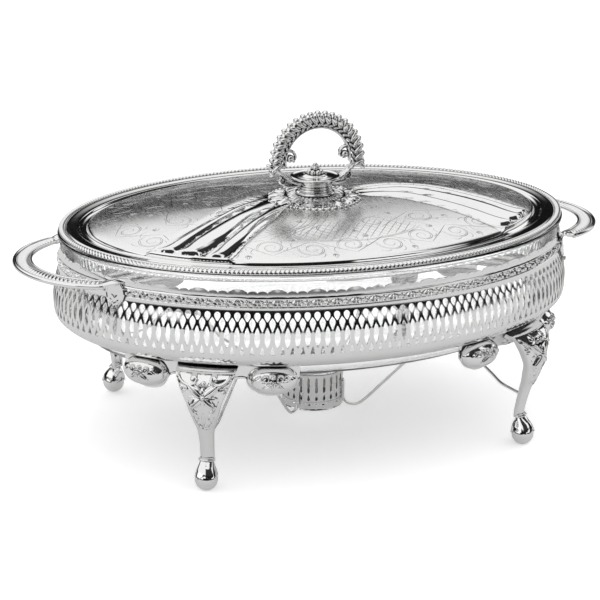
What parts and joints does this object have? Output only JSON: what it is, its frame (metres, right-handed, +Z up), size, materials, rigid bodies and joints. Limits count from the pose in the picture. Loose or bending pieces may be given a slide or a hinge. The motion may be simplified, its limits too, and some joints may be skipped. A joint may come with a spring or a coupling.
{
  "type": "oval covered serving dish with tealight warmer stand",
  "caption": "Oval silver-plated buffet server: lidded glass dish in a pierced gallery stand on cabriole legs, kept warm by a tealight cup.",
  "frame": {"origin": "on the table at the middle of the four feet, under the middle of the object", "axes": "+Z up, +X along the length through both handles, +Y towards the back"},
  "size_m": [0.451, 0.2896, 0.2346],
  "materials": {
    "silver_plate": "mirror polished silver plate",
    "silver_wire": "bright plated drawn wire",
    "steel_fasteners": "plain bright steel",
    "clear_glass": "clear pressed heat-proof glass",
    "tealight_aluminium": "thin drawn aluminium",
    "candle_wax": "waxy, slightly translucent",
    "cotton_wick": "waxed braided cotton",
    "tinned_tab": "thin tinned steel"
  },
  "bodies": {
    "stand": {"gallery_frame": "silver_plate", "handle_left": "silver_plate", "handle_right": "silver_plate", "handle_rivets": "steel_fasteners", "leg_front_left": "silver_plate", "leg_front_right": "silver_plate", "leg_back_left": "silver_plate", "leg_back_right": "silver_plate", "ball_foot_front_left": "silver_plate", "ball_foot_front_right": "silver_plate", "ball_foot_back_left": "silver_plate", "ball_foot_back_right": "silver_plate", "apron_front_left": "silver_plate", "apron_front_right": "silver_plate", "apron_back_left": "silver_plate", "apron_back_right": "silver_plate", "leg_screws": "steel_fasteners", "warmer_wire_front_left": "silver_wire", "warmer_wire_front_right": "silver_wire", "warmer_wire_back_left": "silver_wire", "warmer_wire_back_right": "silver_wire", "candle_cup": "silver_plate", "candle_cup_floor": "silver_plate"},
    "dish": {"glass_dish": "clear_glass"},
    "lid": {"lid_shell": "silver_plate", "lid_gadroon_border": "silver_plate", "knob_boss_plate": "silver_plate", "knob_pedestal": "silver_plate", "knob_wreath": "silver_plate", "knob_bead_finial": "silver_plate", "knob_washer": "steel_fasteners", "knob_screw": "steel_fasteners"},
    "tealight": {"tealight_case": "tealight_aluminium", "tealight_wax": "candle_wax", "tealight_wick": "cotton_wick", "wick_sustainer": "tinned_tab"}
  },
  "joints": [
    {"name": "dish_lift", "type": "slide", "parent": "stand", "child": "dish", "axis": [0, 0, 1], "range_m": [0, 0.08]},
    {"name": "lid_lift", "type": "slide", "parent": "dish", "child": "lid", "axis": [0, 0, 1], "range_m": [0, 0.12]},
    {"name": "tealight_lift", "type": "slide", "parent": "stand", "child": "tealight", "axis": [0, 0, 1], "range_m": [0, 0.03]}
  ]
}
